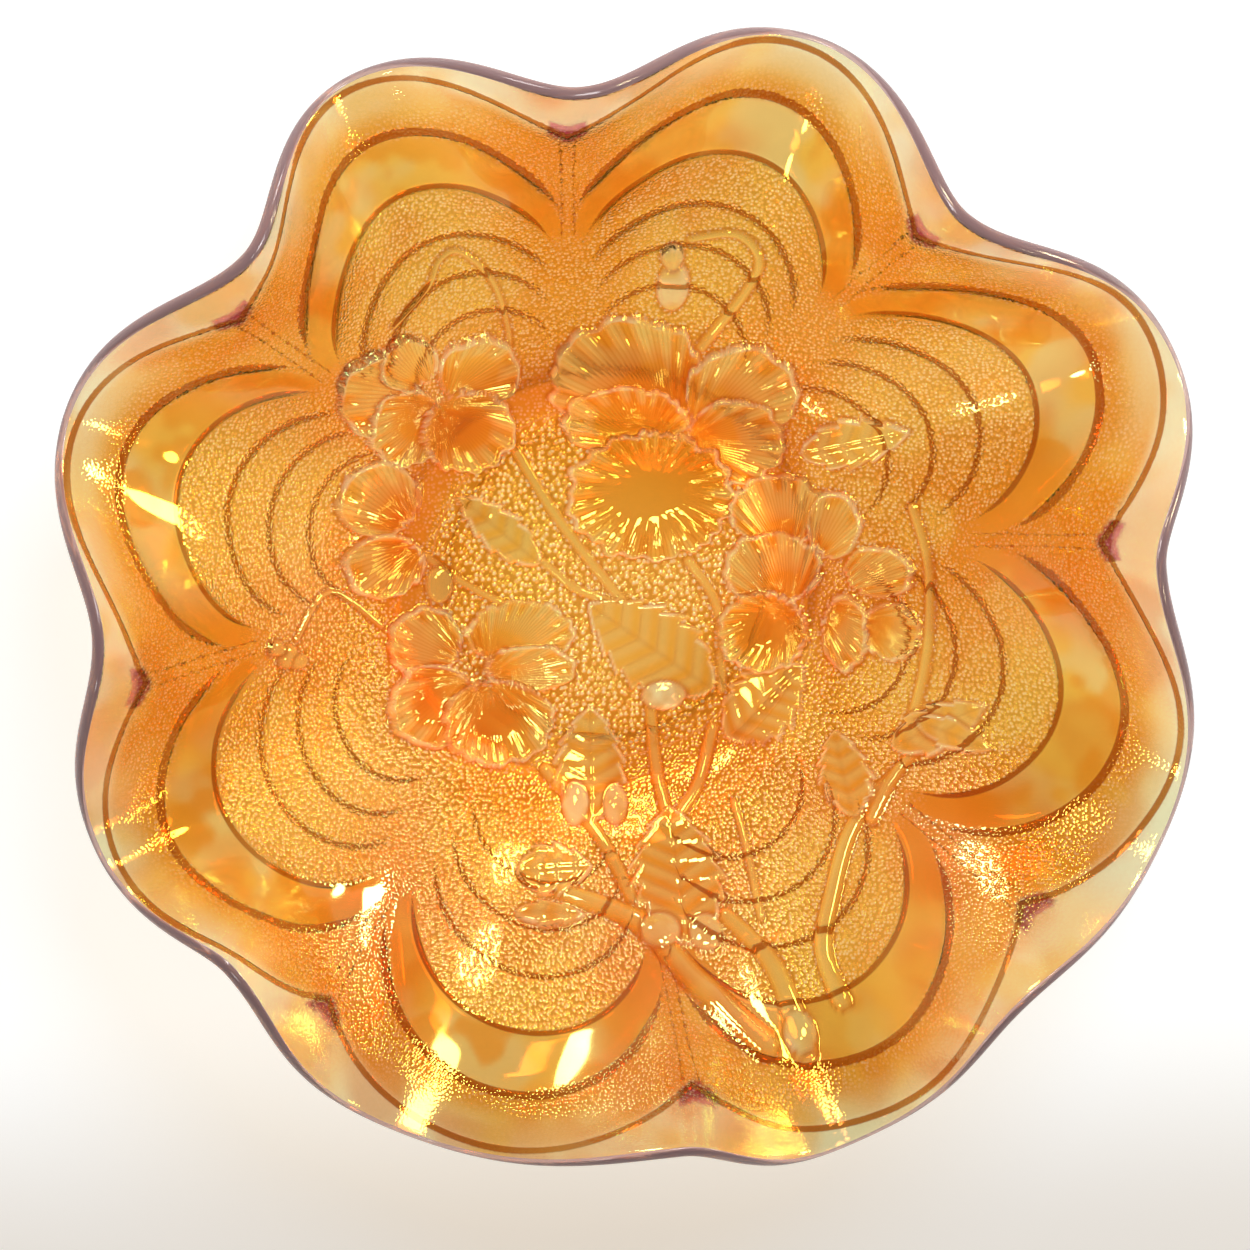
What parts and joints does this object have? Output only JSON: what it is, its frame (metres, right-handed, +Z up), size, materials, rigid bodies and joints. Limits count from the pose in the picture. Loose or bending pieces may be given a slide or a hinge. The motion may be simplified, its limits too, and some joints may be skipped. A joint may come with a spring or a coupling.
{
  "type": "glass bowl",
  "caption": "Ruffled pressed-glass bowl in marigold carnival glass, with a relief of pansies inside, stippled arc panels and a collar base.",
  "frame": {"origin": "on the table, at the centre of the foot ring", "axes": "+Z up out of the bowl's mouth, +Y towards the top of the floral design"},
  "size_m": [0.2265, 0.2279, 0.0661],
  "materials": {
    "marigold_glass": "gloss"
  },
  "bodies": {
    "root": {"glass_bowl": "marigold_glass"}
  },
  "joints": []
}
